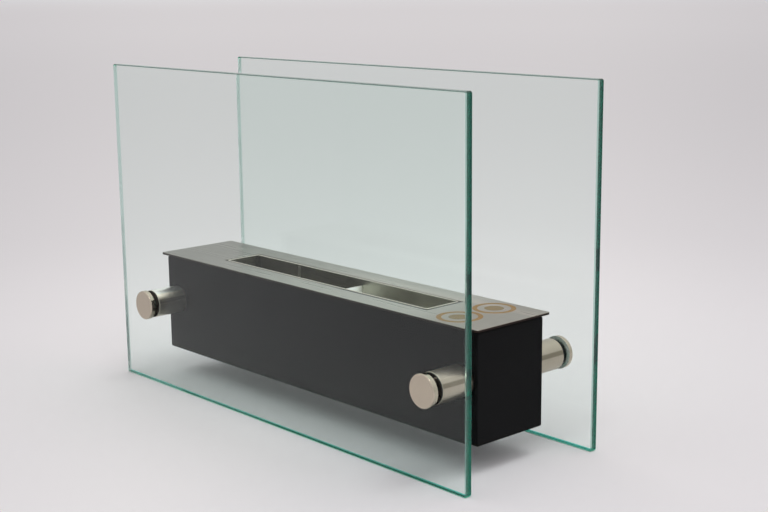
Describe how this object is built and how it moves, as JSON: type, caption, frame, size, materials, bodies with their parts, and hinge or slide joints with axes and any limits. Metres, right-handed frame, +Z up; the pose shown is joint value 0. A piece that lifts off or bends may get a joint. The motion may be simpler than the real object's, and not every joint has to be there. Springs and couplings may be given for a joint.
{
  "type": "tabletop bioethanol fireplace",
  "caption": "Tabletop bioethanol fireplace: a black steel housing with a lift-out burner, carried between two clear glass panes by round stand-offs.",
  "frame": {"origin": "on the floor, at the middle of the box round the whole object, under the middle of the housing", "axes": "+X along the glass panes, -Y to the front, +Z up"},
  "size_m": [0.35, 0.1212, 0.226],
  "materials": {
    "clear_glass": "clear float glass, arrised edges, green at the edge",
    "black_powder_coat": "matt black powder coat",
    "seat_gasket": "matt black heat-resistant gasket",
    "brushed_plate": "brushed along its length",
    "tank_steel": "mill finish stainless, a little dark from heat",
    "ceramic_wool": "white ceramic fibre wool",
    "satin_barrel": "satin, turned",
    "satin_cap": "satin face, polished rim",
    "black_gasket": "matt black rubber",
    "clear_nylon": "natural nylon",
    "plated_fastener": "zinc plated"
  },
  "bodies": {
    "base": {"housing_channel": "black_powder_coat", "housing_end_left": "black_powder_coat", "housing_end_right": "black_powder_coat", "plate_seat": "seat_gasket", "front_glass_pane": "clear_glass", "rear_glass_pane": "clear_glass", "standoff_barrel_front_left": "satin_barrel", "inner_gasket_front_left": "black_gasket", "glass_bush_front_left": "clear_nylon", "washer_front_left": "plated_fastener", "housing_screw_front_left": "plated_fastener", "standoff_barrel_front_right": "satin_barrel", "inner_gasket_front_right": "black_gasket", "glass_bush_front_right": "clear_nylon", "washer_front_right": "plated_fastener", "housing_screw_front_right": "plated_fastener", "standoff_barrel_rear_left": "satin_barrel", "inner_gasket_rear_left": "black_gasket", "glass_bush_rear_left": "clear_nylon", "washer_rear_left": "plated_fastener", "housing_screw_rear_left": "plated_fastener", "standoff_barrel_rear_right": "satin_barrel", "inner_gasket_rear_right": "black_gasket", "glass_bush_rear_right": "clear_nylon", "washer_rear_right": "plated_fastener", "housing_screw_rear_right": "plated_fastener"},
    "burner": {"burner_plate": "brushed_plate", "burner_tank": "tank_steel", "tank_divider": "tank_steel", "level_strip": "tank_steel", "tank_hanger_left": "tank_steel", "tank_hanger_right": "tank_steel", "wool_pad_left": "ceramic_wool", "wool_pad_right": "ceramic_wool"},
    "cap_gasket_front_left": {"outer_gasket_front_left": "clear_nylon"},
    "cap_front_left": {"standoff_cap_front_left": "satin_cap"},
    "cap_gasket_front_right": {"outer_gasket_front_right": "clear_nylon"},
    "cap_front_right": {"standoff_cap_front_right": "satin_cap"},
    "cap_gasket_rear_left": {"outer_gasket_rear_left": "clear_nylon"},
    "cap_rear_left": {"standoff_cap_rear_left": "satin_cap"},
    "cap_gasket_rear_right": {"outer_gasket_rear_right": "clear_nylon"},
    "cap_rear_right": {"standoff_cap_rear_right": "satin_cap"}
  },
  "joints": [
    {"name": "burner_lift", "type": "slide", "parent": "base", "child": "burner", "axis": [0, 0, 1], "range_m": [0, 0.2]},
    {"name": "cap_travel_front_left", "type": "slide", "parent": "base", "child": "cap_gasket_front_left", "axis": [0, -1, 0], "range_m": [0, 0.01]},
    {"name": "cap_turn_front_left", "type": "hinge", "parent": "cap_gasket_front_left", "child": "cap_front_left", "pos_m": [-0.1435, -0.0606, 0.056], "axis": [0, -1, 0], "range_deg": [0, 2880]},
    {"name": "cap_travel_front_right", "type": "slide", "parent": "base", "child": "cap_gasket_front_right", "axis": [0, -1, 0], "range_m": [0, 0.01]},
    {"name": "cap_turn_front_right", "type": "hinge", "parent": "cap_gasket_front_right", "child": "cap_front_right", "pos_m": [0.1435, -0.0606, 0.056], "axis": [0, -1, 0], "range_deg": [0, 2880]},
    {"name": "cap_travel_rear_left", "type": "slide", "parent": "base", "child": "cap_gasket_rear_left", "axis": [0, 1, 0], "range_m": [0, 0.01]},
    {"name": "cap_turn_rear_left", "type": "hinge", "parent": "cap_gasket_rear_left", "child": "cap_rear_left", "pos_m": [-0.1435, 0.0606, 0.056], "axis": [0, 1, 0], "range_deg": [0, 2880]},
    {"name": "cap_travel_rear_right", "type": "slide", "parent": "base", "child": "cap_gasket_rear_right", "axis": [0, 1, 0], "range_m": [0, 0.01]},
    {"name": "cap_turn_rear_right", "type": "hinge", "parent": "cap_gasket_rear_right", "child": "cap_rear_right", "pos_m": [0.1435, 0.0606, 0.056], "axis": [0, 1, 0], "range_deg": [0, 2880]}
  ],
  "couplings": [
    {"joint": "cap_travel_front_left", "follows": "cap_turn_front_left", "m_per_rad": 0.00019894},
    {"joint": "cap_travel_front_right", "follows": "cap_turn_front_right", "m_per_rad": 0.00019894},
    {"joint": "cap_travel_rear_left", "follows": "cap_turn_rear_left", "m_per_rad": 0.00019894},
    {"joint": "cap_travel_rear_right", "follows": "cap_turn_rear_right", "m_per_rad": 0.00019894}
  ]
}
